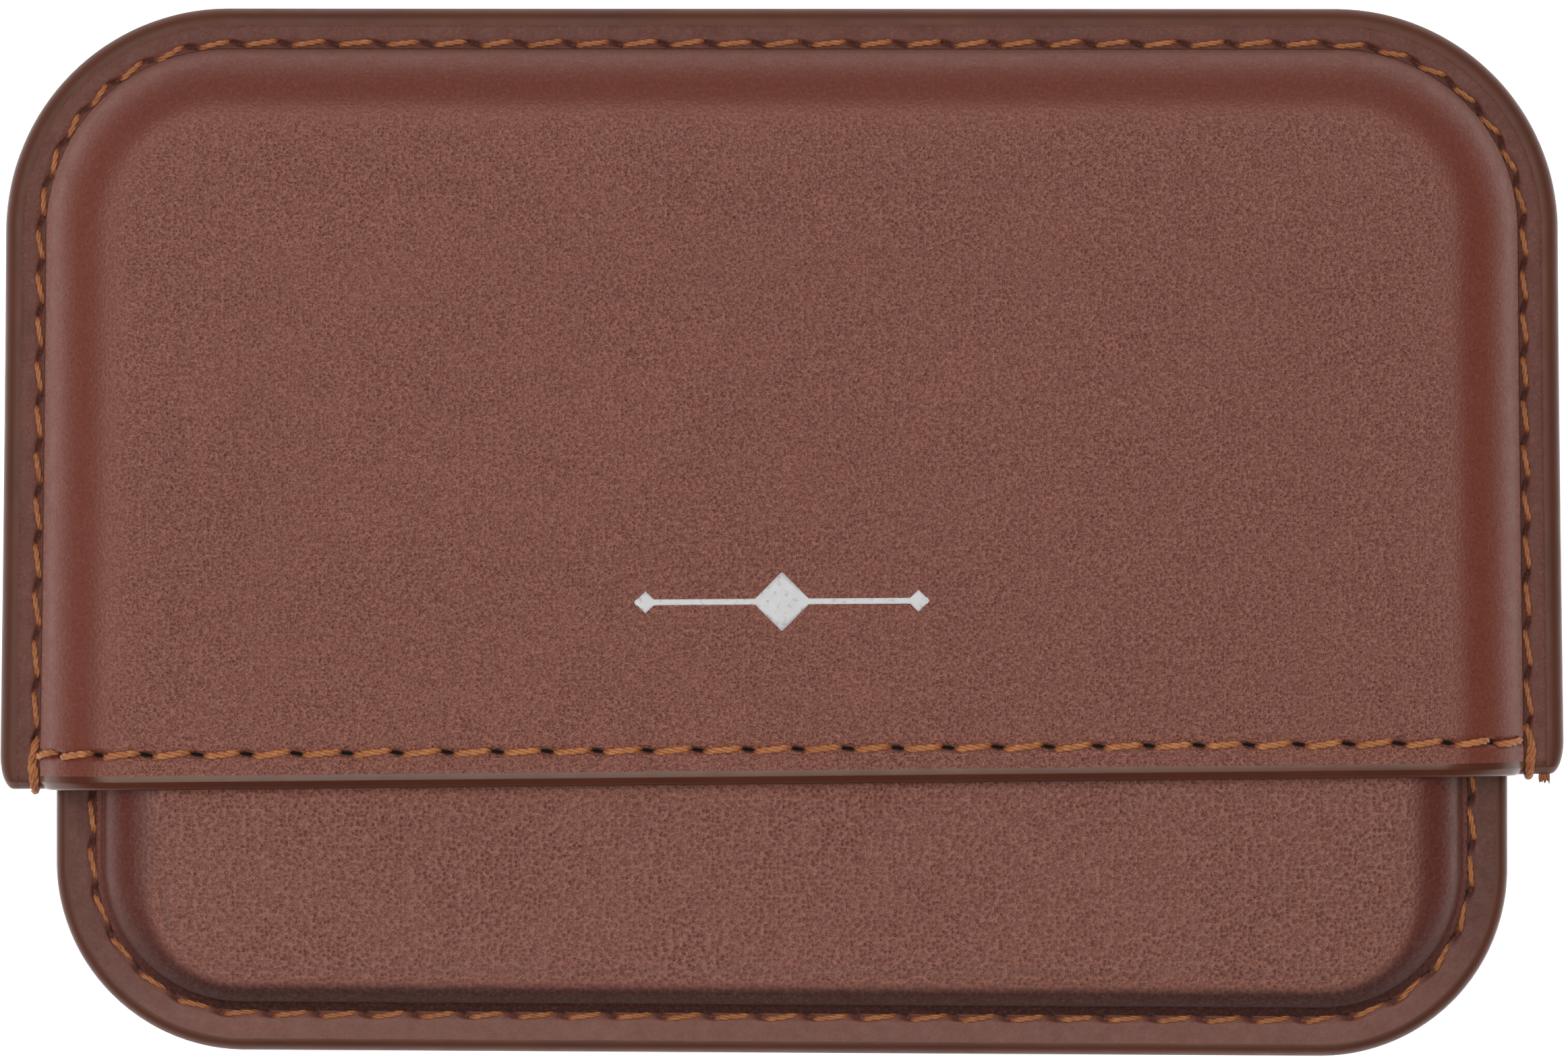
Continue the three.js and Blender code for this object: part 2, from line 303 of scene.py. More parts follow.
class Shell:
    """The surfaces of one moulded shell of a half."""

    def __init__(self, half, fine=True):
        self.half = half
        self.fine = fine
        self.outline = Outline(half, fine)
        self.section = Section(half, fine)
        self.row_places = self.mouth_row_places()

    def mouth_row_places(self):
        """Places of the mouth row's holes, measured along the surface from the middle."""
        flat_half = self.half.width - self.section.flat
        reach = flat_half + self.section.run[self.section.foot_count] - 0.25
        end = reach - self.half.row_short
        count = round((reach + end) / self.half.row_pitch)
        return np.linspace(-reach, end, count + 1)

    def strip(self, depth):
        """Points over stations x section at one depth, in the half's own axes."""
        outline, section = self.outline, self.section
        base, normal = outline.base, outline.normal
        inset = section.inset + depth * section.inward[:, 0]
        flat = ~section.bent & (np.arange(len(section.inset)) < section.foot_count)
        height = np.maximum(0, np.where(
            flat, section.height * (1 - min(depth / FLANGE, 1)),
            section.height + depth * section.inward[:, 1]))
        narrow = np.clip(inset - self.half.wall - self.half.ledge, 0, None) * self.half.taper
        inset = inset - narrow * np.abs(normal[:, 1:]) ** 1.5
        xy = base[:, None, :] + inset[..., None] * normal[:, None, :]
        z = np.broadcast_to(height, xy.shape[:2])
        return np.dstack([xy, z])

    def panel(self, ring):
        """Points over the flat, filling in from the last ring of the strip. Rows run from the
        closed end to the mouth."""
        outline = self.outline
        a, b = outline.mid_left, outline.mid_right
        left = ring[a::-1, :2]
        right = ring[b:, :2]
        top = ring[a:b + 1, :2]
        columns = len(top)
        width = right[-1, 0] - left[-1, 0]
        if self.fine:
            places = [p + width / 2 for p in self.row_places if abs(p) < width / 2]
            x = spaced(width, places, 0.5, 1.0)
            x = np.interp(np.linspace(0, 1, columns), np.linspace(0, 1, len(x)), x)
        else:
            x = np.linspace(0, width, columns)
        bottom = np.column_stack([left[-1, 0] + x, np.full(columns, left[-1, 1])])
        v = ((left[:, 1] - left[0, 1]) / (left[-1, 1] - left[0, 1]))[:, None, None]
        even = np.linspace(0, 1, columns)
        u = (x / width)[None, :, None] * v + even[None, :, None] * (1 - v)
        lofted = (1 - v) * top[None] + v * bottom[None]
        sides = (1 - u) * left[:, None] + u * right[:, None]
        corners = ((1 - v) * ((1 - u) * left[0] + u * right[0])
                   + v * ((1 - u) * left[-1] + u * right[-1]))
        xy = lofted + sides - corners
        return np.dstack([xy, np.full(xy.shape[:2], self.half.top)])

    def tone(self, inset, endness):
        """How much of a shoulder a point is on, whose deep colour is partly painted shade.
        endness is
        1 at the closed end and 0 at the sides, and half.shade has the width of the shaded band at
        the sides and there."""
        half = self.half
        reach = half.shade[0] + (half.shade[1] - half.shade[0]) * endness
        up_wall = inset - half.wall
        start = 0.1 + (0.2 if half.ledge else 0.45) * (1 - endness)
        return smooth(0, start, up_wall) * (1 - smooth(0.6 * reach, reach, up_wall))

    def panel_tone(self, points):
        """The tone of points of the flat, whose border has rounded corners."""
        half = self.half
        flat = self.section.flat
        side = half.width - flat - abs(points[..., 0])
        end = -flat - points[..., 1]
        radius = half.corner - flat
        cut = np.hypot(np.clip(radius - side, 0, None), np.clip(radius - end, 0, None))
        inset = flat + np.where(cut > 0, radius - cut, np.minimum(side, end))
        return self.tone(inset, smooth(-3, 3, side - end))

    def crown(self, points):
        """The slight rise and unevenness of the hand-moulded flat."""
        half = self.half
        x, y = points[..., 0], points[..., 1]
        edge = smooth(0, 14, half.width - self.section.flat - abs(x))
        closed = smooth(0, 14, -self.section.flat - y)
        rise = half.crown * edge * closed
        waver = 0.012 * ripple(x, y, 6.0, 1.0 + len(half.name)) * edge * closed
        return rise + waver

    def slit(self, along, across, slope, length, width):
        """A slanted awl slit, from 0 to 1. along and across are distances from its middle."""
        size = math.hypot(1, slope)
        lengthwise = (along + slope * across) / size
        crosswise = (across - slope * along) / size
        return np.exp(-((lengthwise / length) ** 4)) * bump(crosswise, width)

    def seam_dent(self, s, inset):
        """Depth of the seam's groove, and how far each point is inside a hole."""
        nearest = abs(s[:, None] - self.outline.holes).argmin(axis=1)
        along = (s - self.outline.holes[nearest])[:, None]
        across = inset[None, :] - self.half.seam
        hole = self.slit(along, across, 0.35, 0.55, 0.09)
        groove = bump(across, 0.24)
        return 0.5 * hole + 0.09 * groove, 0.45 * hole

    def row_dent(self, along, back):
        """The same for the mouth's row, back being the distance to the mouth."""
        nearest = abs(along[..., None] - self.row_places).argmin(axis=-1)
        past = along - self.row_places[nearest]
        line = back - MOUTH_ROW
        hole = self.slit(past, line, -0.16, 0.52, 0.15)
        puff = bump(abs(line) - 0.5, 0.3) * bump(past, 0.9)
        return 0.7 * hole + 0.1 * bump(line, 0.3) - 0.035 * puff, hole


def strip_along(shell):
    """The strip's signed distance along the mouth from its middle, at each point."""
    flat_half = shell.half.width - shell.section.flat
    sign = np.where(shell.outline.s < shell.outline.total / 2, -1, 1)
    return sign[:, None] * (flat_half + shell.section.run)[None, :]


def rounded_end(shell, strip):
    """Rounds the flange's end off in plan at the mouth corners."""
    back = strip[..., 1] + shell.half.length
    t = np.clip(1 - back / END_ROUND[1], 0, 1)
    pull = END_ROUND[0] * (1 - np.sqrt(1 - t**2))
    share = np.clip(1 - shell.section.inset / 1.9, 0, 1)[None, :]
    strip[..., 0] -= np.sign(strip[..., 0]) * pull * share


def outside(shell):
    """The outside surface, as strip and panel with the stitching's dents pressed in, and how
    far each of their points is inside a hole, with painted shade added in the crease at the
    wall's foot."""
    half, section = shell.half, shell.section
    strip = shell.strip(0.0)
    panel = shell.panel(strip[:, -1])
    panel[..., 2] += shell.crown(panel)
    dent, hole = shell.seam_dent(shell.outline.s, section.inset)
    # Painted shade in the crease at the wall's foot, carried in the hole mark.
    hole += 0.3 * bump(section.inset - half.wall + 0.08, 0.13)[None, :]
    climb = section.inset >= half.wall
    dent[:, climb] = 0
    hole[:, climb] = 0
    wall_dent, wall_hole = shell.row_dent(strip_along(shell), strip[..., 1] + half.length)
    dent += np.where(climb, wall_dent, 0)
    hole += np.where(climb, wall_hole, 0)
    strip[..., :2] += shell.outline.normal[:, None] * (dent * section.inward[:, 0])[..., None]
    strip[..., 2] += dent * section.inward[:, 1]
    waver = 0.02 * ripple(strip[..., 0], strip[..., 1], 3.0, 4.0)
    strip[..., 2] += np.where((section.inset > 0.2) & (section.inset < 2.6), waver, 0)
    panel_dent, panel_hole = shell.row_dent(panel[..., 0], panel[..., 1] + half.length)
    panel[..., 2] -= panel_dent
    return strip, panel, hole, panel_hole


def lip_rows():
    """Steps round the mouth's lip: distance from the mouth and drop, as shares, and the share
    of the thickness behind it. The lip slopes a little, turns over sharply and is then a
    slanting painted face."""
    past = np.array([0.0, 0.12, 0.24, 0.34, 0.4, 0.43, 0.46, 0.5, 0.62, 0.75, 0.87, 0.95, 1.0])
    tilt = 0.2 * smooth(0, 0.3, past) + 0.78 * smooth(0.4, 0.5, past)
    tilt += 0.5 * smooth(0.86, 1, past)
    slope = np.tan(tilt)
    drop = np.concatenate([[0], np.cumsum((slope[1:] + slope[:-1]) / 2 * np.diff(past))])
    rows = [(1 - p, d / drop[-1], 0.0) for p, d in zip(past[1:], drop[1:])]
    for angle in np.linspace(0, math.pi / 2, 4)[1:]:
        rows.append((0.35 * (1 - math.cos(angle)), 1.0, math.sin(angle)))
    return rows


# ---- Meshes ----

class Builder:
    """Collects vertices and faces, each face with a material index."""

    def __init__(self):
        self.points = []
        self.faces = []
        self.slots = []
        self.marks = {"tone": [], "hole": [], "flange": [], "burnt": []}
        self.count = 0

    def add(self, points, **marks):
        """tone is how much of a shoulder a point is on, or how dark a thread is, both partly
        painted shade; hole how much painted shade a hole or the crease at the wall's foot gives
        it, flange whether it is on the flange, and burnt how much painted shade the closed end's
        wall gets there."""
        shape = points.shape[:-1]
        flat = points.reshape(-1, 3)
        self.points.append(flat)
        for key, values in self.marks.items():
            values.append(np.broadcast_to(marks.get(key, 0), shape).reshape(-1))
        index = np.arange(self.count, self.count + len(flat)).reshape(shape)
        self.count += len(flat)
        return index

    def grid(self, index, slot=0):
        """Quads over a grid of vertices. slot may be one number for each quad."""
        quads = np.stack([index[:-1, :-1], index[1:, :-1], index[1:, 1:], index[:-1, 1:]], -1)
        slots = np.broadcast_to(slot, quads.shape[:2])
        for quad, value in zip(quads.reshape(-1, 4).tolist(), slots.reshape(-1).tolist()):
            if len(set(quad)) == 4:
                self.faces.append(quad)
                self.slots.append(value)

    def bridge(self, first, second):
        """Triangles between two lines of vertices that run the same way."""
        points = np.vstack(self.points)
        shares = []
        for line in (first, second):
            steps = np.linalg.norm(np.diff(points[line], axis=0), axis=1)
            total = np.concatenate([[0], np.cumsum(steps)])
            shares.append(total / total[-1])
        i = j = 0
        while i < len(first) - 1 or j < len(second) - 1:
            ahead_first = shares[0][i + 1] if i < len(first) - 1 else 2
            ahead_second = shares[1][j + 1] if j < len(second) - 1 else 2
            if ahead_first <= ahead_second:
                self.faces.append([first[i], second[j], first[i + 1]])
                i += 1
            else:
                self.faces.append([first[i], second[j], second[j + 1]])
                j += 1
            self.slots.append(0)


def mesh_piece(name, builder, half, side, materials, node):
    """Makes the mesh, puts it on its half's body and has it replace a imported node."""
    points = half.world(np.vstack(builder.points), side) / MM
    mesh = bpy.data.meshes.new(name)
    mesh.from_pydata(points.tolist(), [], builder.faces)
    mesh.polygons.foreach_set("material_index", builder.slots)
    mesh.polygons.foreach_set("use_smooth", [True] * len(mesh.polygons))
    for key, values in builder.marks.items():
        mark = mesh.attributes.new(key, "FLOAT", "POINT")
        mark.data.foreach_set("value", np.concatenate(values))
    work = bmesh.new()
    work.from_mesh(mesh)
    bmesh.ops.recalc_face_normals(work, faces=work.faces)
    work.to_mesh(mesh)
    work.free()
    mesh.validate()
    piece = bpy.data.objects.new(name, mesh)
    bpy.context.scene.collection.objects.link(piece)
    for material in materials:
        mesh.materials.append(material)
    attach(piece, half.name)
    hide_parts(node)


def lip_ends(shell, strip, panel_row):
    """The lip at the mouth: rows beyond both ends of the strip and the panel's last row."""
    section, normals = shell.section, shell.outline.normal
    direction, tip = section.inward, section.tip
    sides = (("left", strip[0], normals[0]), ("right", strip[-1], normals[-1]))
    ends = {"left": [], "right": [], "panel": []}
    for reach, share, rest in lip_rows():
        depth = tip * share + (FLANGE - tip) * rest
        y = LIP * reach - shell.half.length
        for key, row, normal in sides:
            out = row.copy()
            out[:, :2] += normal[None] * (depth * direction[:, 0])[:, None]
            out[:, 2] = np.maximum(0, np.where(
                section.bent, row[:, 2] + depth * direction[:, 1],
                row[:, 2] * (1 - depth / FLANGE)))
            out[:, 1] = y
            ends[key].append(out)
        out = panel_row.copy()
        out[:, 2] -= 0.5 * FLANGE * share + 0.5 * FLANGE * rest
        out[:, 1] = y
        ends["panel"].append(out)
    return {key: np.array(rows) for key, rows in ends.items()}


def add_inside(build, shell):
    """Adds a leather shell's inside. Returns its strip's and its panel's vertices."""
    outline = shell.outline
    start = int(np.argmax(shell.section.bent))
    hidden = shell.strip(FLANGE)[:, start:]
    mouth = -shell.half.length + 0.35 * LIP + 0.15
    hidden[[0, -1], :, 1] = mouth
    plane = hidden[:, :1].copy()
    plane[:, 0, :2] = outline.base + (END_ROUND[0] + 0.1) * outline.normal
    plane[[0, -1], :, 1] = mouth
    plane[..., 2] = 0
    hidden = np.concatenate([plane, hidden], axis=1)
    return add_sheet(build, shell, hidden, FLANGE)


def share_border(panel_index, strip_index, left, right):
    """Gives a panel's grid the vertices of the strip's last ring on its three sides. left and
    right are the strip's rows at the closed end's two corners."""
    panel_index[:, 0] = strip_index[left::-1, -1]
    panel_index[:, -1] = strip_index[right:, -1]
    panel_index[0] = strip_index[left:right + 1, -1]


def add_sheet(build, shell, strip, depth):
    """Adds a strip and the panel inside it. Returns the vertices of both."""
    panel = shell.panel(strip[:, -1])
    panel[..., 2] -= depth
    strip_index = build.add(strip)
    build.grid(strip_index)
    panel_index = build.add(panel)
    share_border(panel_index, strip_index, shell.outline.mid_left, shell.outline.mid_right)
    build.grid(panel_index)
    return strip_index, panel_index


def leather_mesh(half):
    """One moulded leather shell, closed all round: outside, painted edges and inside."""
    fine = Shell(half)
    section = fine.section
    strip, panel, hole, panel_hole = outside(fine)
    ends = lip_ends(fine, strip, panel[-1])
    whole = np.concatenate([ends["left"][::-1], strip, ends["right"]])
    rounded_end(fine, whole)
    lips = len(ends["left"])
    build = Builder()

    bare = np.zeros((lips, len(section.inset)))
    endness = np.abs(fine.outline.normal[:, 1]) ** 1.5
    endness = np.concatenate([np.zeros(lips), endness, np.zeros(lips)])[:, None]
    rim = np.maximum(smooth(0, 0.35 * half.edge, section.inset), endness)
    # Painted light: the flange is paler at the closed end, standing in for a highlight on its
    # slope there.
    flange = np.where(section.inset > half.edge, 1 - half.end_flange_light * endness, rim)
    flange = flange * (section.inset < half.wall)
    # Painted shade on the steep wall of the closed end.
    burnt = half.end_shade * endness * smooth(0.15, 0.65, section.tilt)[None, :]
    tone = fine.tone(section.inset[None, :], endness)
    grid = build.add(whole, tone=tone, hole=np.vstack([bare, hole, bare]), flange=flange,
                     burnt=burnt)
    slots = np.zeros((len(whole) - 1, len(section.inset) - 1), int)
    slots[:, :section.edge_count] = 1
    slots[:lips] = 1
    slots[-lips:] = 1
    build.grid(grid, slots)

    bare = np.zeros((lips, panel.shape[1]))
    flat = np.concatenate([panel, ends["panel"]])
    inner = build.add(flat, tone=fine.panel_tone(flat), hole=np.vstack([panel_hole, bare]))
    share_border(inner, grid, fine.outline.mid_left + lips, fine.outline.mid_right + lips)
    slots = np.zeros((len(inner) - 1, inner.shape[1] - 1), int)
    slots[-lips:] = 1
    build.grid(inner, slots)

    # The inside has fewer faces, and is joined to the outside along the seam and the mouth.
    hid, hid_panel = add_inside(build, Shell(half, fine=False))
    build.bridge(grid[:, 0], hid[:, 0])
    build.bridge(
        np.concatenate([grid[0], inner[-1, 1:], grid[-1, -2::-1]]),
        np.concatenate([hid[0], hid_panel[-1, 1:], hid[-1, -2::-1]]),
    )
    return build


def lining_mesh(half):
    """The lining inside a shell: a thin closed sheet from just inside the mouth."""
    shell = Shell(half, fine=False)
    start = int(np.argmax(shell.section.bent))
    build = Builder()
    sheets = []
    for depth in (FLANGE - 0.03, FLANGE + 0.04):
        strip = shell.strip(depth)[:, start:]
        strip[..., 2] = np.maximum(strip[..., 2], 0.012)
        strip[[0, -1], :, 1] = -half.length + 0.75
        grid, inner = add_sheet(build, shell, strip, depth)
        rim = np.concatenate([grid[:, 0], grid[-1, 1:], inner[-1, -2::-1], grid[0, -2::-1]])
        sheets.append(rim)
    build.grid(np.array(sheets))
    return build


# ---- Thread ----

def ply_tube(build, path, across, up, radius, darkening):
    """A closed tube of thread round a path, flattened a little along up. darkening is how dark
    it is, partly painted shade: one number, or one for each point of the path."""
    turn = np.linspace(0, 2 * math.pi, TUBE_SIDES, endpoint=False)
    ring = (across[:, None] * np.cos(turn)[None, :, None]
            + up[:, None] * np.sin(turn)[None, :, None] * SQUASH)
    size = np.full(len(path), radius)
    size[[0, -1]] *= 0.5
    points = path[:, None] + ring * size[:, None, None]
    index = build.add(points, tone=np.reshape(darkening, (-1, 1)))
    build.grid(np.concatenate([index, index[:, :1]], axis=1))
    build.faces += [index[0].tolist(), index[-1, ::-1].tolist()]
    build.slots += [0, 0]


def twisted(build, path, up, ply, wind, phase, darkening):
    """A twisted thread along a path: right-handed plies round its axis."""
    tangent = np.gradient(path, axis=0)
    steps = np.linalg.norm(tangent, axis=1)
    tangent /= steps[:, None]
    across = np.cross(up, tangent)
    across /= np.linalg.norm(across, axis=1)[:, None]
    up = np.cross(tangent, across)
    run = np.concatenate([[0], np.cumsum(np.linalg.norm(np.diff(path, axis=0), axis=1))])
    for k in range(PLIES):
        angle = phase + 2 * math.pi * (run / PLY_TURN + k / PLIES)
        centre = (path + across * (wind * np.cos(angle))[:, None]
                  + up * (wind * SQUASH * np.sin(angle))[:, None])
        ply_tube(build, centre, across, up, ply, darkening)


def stitch(build, start, end, up, key, proud, size, darkening, drop=0.42, slant=0.1, margin=0.42):
    """One stitch between two holes. It comes up at one side of its hole and goes down at the
    other side of the next. Its ends, in the holes, are darkened with painted shade."""
    span = end - start
    length = np.linalg.norm(span)
    along = span / length
    side = np.cross(up, along)
    lean = slant * (1 + 0.35 * hashed(key, 1))
    reach = length / 2 - margin + 0.05 * hashed(key, 2)
    t = np.linspace(-1, 1, 17)
    lift = proud + 0.02 * hashed(key, 3) - (proud + drop) * abs(t) ** 5
    middle = (start + end) / 2
    bow = 0.03 * hashed(key, 4) * (1 - t**2)
    path = (middle + along * (reach * t)[:, None] + side * (lean * t + bow)[:, None]
            + up * lift[:, None])
    twisted(build, path, np.broadcast_to(up, path.shape), PLY * size, WIND * size, 2.4 * key,
            darkening + (1 - darkening) * 0.8 * smooth(0.6, 1, abs(t)))


def seam_stitches(half, side):
    outline, build = Outline(half), Builder()
    base, normal = outline.at(outline.holes)
    places = np.column_stack([base + half.seam * normal, np.full(len(base), FLANGE)])
    for k in range(1, len(places) - 2):
        key = k + (0 if side > 0 else BACK_SEAM_KEY)
        # 0.45 darkens the seam's thread with painted shade, as it lies in its groove.
        stitch(build, places[k], places[k + 1], UP, key, 0.03, 0.88, 0.45, slant=0.17,
               margin=0.45)
    return build


def mouth_curve(shell, along):
    """Point and outward direction on the shell's outside, at the mouth row."""
    section, half = shell.section, shell.half
    flat_half = half.width - section.flat
    back = -half.length + MOUTH_ROW
    sign = 1 if along > 0 else -1
    past = abs(along) - flat_half
    if past <= 0:
        return np.array([along, back, half.top]), UP
    run = section.run[::-1]
    inset = np.interp(past, run, section.inset[::-1])
    height = np.interp(past, run, section.height[::-1])
    inward = [np.interp(past, run, section.inward[::-1, k]) for k in (0, 1)]
    return (np.array([sign * (half.width - inset), back, height]),
            np.array([sign * inward[0], 0.0, -inward[1]]))


def mouth_stitches(half, side):
    shell, build = Shell(half), Builder()
    places = shell.row_places
    proud = half.row_proud if side > 0 else -0.02
    for k in range(len(places) - 1):
        start, _ = mouth_curve(shell, places[k])
        end, _ = mouth_curve(shell, places[k + 1])
        middle, up = mouth_curve(shell, (places[k] + places[k + 1]) / 2)
        bulge = np.dot(middle - (start + end) / 2, up)
        up = up / np.linalg.norm(up)
        key = k + ROW_KEY + (0 if side > 0 else BACK_ROW_KEY)
        stitch(build, start + up * bulge, end + up * bulge, up, key, proud, 1.08, 0.1,
               drop=0.45 + bulge, slant=0.14)
    return build


def mouth_corner(half, side):
    """The outline's end at one mouth corner, and the inward direction there. side is -1 or 1
    in the half's X."""
    outline = Outline(half)
    base, normal = outline.at(np.array([0 if side < 0 else outline.total]))
    return base[0], normal[0]


def bar_tack(half, side):
    """The doubled last stitch at one mouth corner: two strands that lie along the seam on
    both faces, cross, and wrap over the flange's end."""
    build = Builder()
    base, normal = mouth_corner(half, side)
    for strand, (near, far, lift, skew) in enumerate(TACK_STRANDS):
        places = [
            (TACK + skew - t * (TACK + skew - LIP),
             FLANGE + lift - (0.55 + lift) * (1 - t) ** 7,
             near + (far - near) * smooth(0, 0.9, t) - 0.16 * math.sin(math.pi * t))
            for t in np.linspace(0, 1, 14)]
        places += [
            (LIP - (LIP + 0.1 + 0.4 * lift) * math.sin(angle) ** 0.8,
             (FLANGE + lift) * math.cos(angle),
             far + 0.12 * (strand * 2 - 1) * math.sin(angle))
            for angle in np.linspace(0, math.pi / 2, 9)[1:]]
        places += [(back, -height, inset) for back, height, inset in places[-2::-1]]
        backs, heights, insets = np.array(places).T
        path = np.column_stack([base[0] + insets * normal[0], -half.length + backs, heights])
        path[1:-1] = (path[:-2] + 2 * path[1:-1] + path[2:]) / 4
        outward = heights[:, None] * UP
        outward[:, 1] = np.minimum(backs - LIP, 0) * 1.2
        outward /= np.linalg.norm(outward, axis=1)[:, None]
        twisted(build, path, outward, TACK_PLY, TACK_WIND, 2.0 * strand + side, 0.4)
    return build


def frayed_end(build, half, side):
    """Adds the frayed thread end that sticks out of the flange's end at one mouth corner."""
    base, normal = mouth_corner(half, side)
    t = np.linspace(0, 1, 6)
    across, up = np.tile([1.0, 0.0, 0.0], (len(t), 1)), np.tile(UP, (len(t), 1))
    for k in range(FIBRES):
        inset = FIBRE_START + FIBRE_GAP * k
        reach = 0.55 + 0.12 * hashed(k, 7)
        x = base[0] + normal[0] * (inset + 0.05 * hashed(k, 8) * t)
        path = np.column_stack([x, -half.length + 0.6 - t * (0.6 + reach),
                                0.16 * hashed(k, 9) * np.ones_like(t)])
        ply_tube(build, path, across, up, FIBRE, 1.0)


def foil_mesh(half):
    """The ornament: a thin rule with a lozenge at its middle and a small one at each end."""
    build, shell = Builder(), Shell(half, fine=False)
    low, high = box_mm("cover_foil_ornament")
    reach = (high[0] - low[0]) / 2
    lozenge = (high[1] - low[1]) / 2
    middle_y = (high[1] + low[1]) / 2 - half.closed_y
    x = np.unique(np.concatenate([np.linspace(-reach, reach, 160),
                                  np.linspace(-lozenge, lozenge, 40)]))
    wide = np.maximum(0.2, lozenge - abs(x))
    wide = np.maximum(wide, 0.75 - abs(abs(x) - (reach - 0.75)))
    wide[[0, -1]] = 0.03
    rows = np.linspace(-1, 1, 9)
    rough = 0.012 * ripple(x[:, None], rows[None, :] * 3, 0.12, 2.0)
    y = middle_y + wide[:, None] * rows[None, :] + rough
    points = np.dstack([np.broadcast_to(x[:, None], y.shape), y, np.full(y.shape, half.top)])
    points[..., 2] += shell.crown(points)
    edge = (abs(rows) == 1)[None, :] | np.isin(x, x[[0, -1]])[:, None]
    for lift in (np.where(edge, 0.004, 0.022), -0.04):
        surface = points.copy()
        surface[..., 2] += lift
        build.grid(build.add(surface))
    count = y.size
    index = np.arange(count).reshape(y.shape)
    rim = np.concatenate([index[:, 0], index[-1, 1:], index[-2::-1, -1], index[0, -2::-1]])
    build.grid(np.array([rim, rim + count]))
    return build


# ---- Materials ----

# Noise scales are per metre. Lengths in shaders are in metres too.
# Painted shade: near black where a point is in a stitch hole or in the crease at the wall's foot.
HOLE_SHADE = (0.006, 0.003, 0.002, 1)


class Nodes:
    """Short ways to add shader nodes to a material."""

    def __init__(self, name):
        self.material = bpy.data.materials.new(name)
        self.material.use_nodes = True
        self.tree = self.material.node_tree
        self.shader = self.tree.nodes["Principled BSDF"]

    def add(self, kind, inputs=None, **settings):
        node = self.tree.nodes.new(kind)
        for key, value in settings.items():
            setattr(node, key, value)
        for key, value in (inputs or {}).items():
            self.set(node.inputs[key], value)
        return node

    def set(self, socket, value):
        if isinstance(value, bpy.types.NodeSocket):
            self.tree.links.new(value, socket)
        else:
            socket.default_value = value

    def place(self):
        return self.add("ShaderNodeTexCoord").outputs["Object"]

    def noise(self, scale, detail=3.0, rough=0.5):
        node = self.add("ShaderNodeTexNoise", {
            "Vector": self.place(), "Scale": scale, "Detail": detail, "Roughness": rough})
        return node.outputs["Fac"]

    def cells(self, scale, wander, random):
        """Distances to the centres of cells seen from above, and a random colour for each
        cell. wander bends the cells, and random is how unevenly they lie."""
        noise = self.add("ShaderNodeTexNoise", {"Vector": self.place(), "Scale": scale * 0.8})
        shift = self.add("ShaderNodeVectorMath", {0: noise.outputs["Color"], "Scale": wander},
                         operation="SCALE")
        place = self.add("ShaderNodeVectorMath", {0: self.place(), 1: shift.outputs[0]})
        node = self.add("ShaderNodeTexVoronoi", {
            "Vector": place.outputs[0], "Scale": scale, "Randomness": random},
            voronoi_dimensions="2D")
        lots = self.add("ShaderNodeSeparateColor", {"Color": node.outputs["Color"]})
        return node.outputs["Distance"], lots.outputs["Red"], lots.outputs["Green"]

    def give(self, name, value):
        """Sets one of the shader's own sockets."""
        self.set(self.shader.inputs[name], value)

    def math(self, operation, first, second=0.0, clamp=False):
        node = self.add("ShaderNodeMath", {0: first, 1: second}, operation=operation,
                        use_clamp=clamp)
        return node.outputs[0]

    def times(self, first, second):
        return self.math("MULTIPLY", first, second)

    def less(self, first, second, clamp=False):
        return self.math("SUBTRACT", first, second, clamp)

    def span(self, value, low, high, new_low=0.0, new_high=1.0):
        """value's range from low to high taken to the new one, and held at its ends."""
        node = self.add("ShaderNodeMapRange", {
            "Value": value, "From Min": low, "From Max": high,
            "To Min": new_low, "To Max": new_high})
        return node.outputs["Result"]

    def mix(self, share, first, second):
        node = self.add("ShaderNodeMix", data_type="RGBA")
        self.set(node.inputs["Factor"], share)
        self.set(node.inputs[6], first)
        self.set(node.inputs[7], second)
        return node.outputs[2]

    def bump(self, height, distance, strength=1.0, normal=None):
        inputs = {"Height": height, "Distance": distance, "Strength": strength}
        if normal is not None:
            inputs["Normal"] = normal
        return self.add("ShaderNodeBump", inputs).outputs["Normal"]

    def mark(self, name):
        return self.add("ShaderNodeAttribute", attribute_name=name).outputs["Fac"]


def scaled(colour, *factors):
    """A colour times one number, or one for each channel, with alpha."""
    factors = factors if len(factors) == 3 else factors * 3
    return (*(c * f for c, f in zip(colour, factors)), 1)


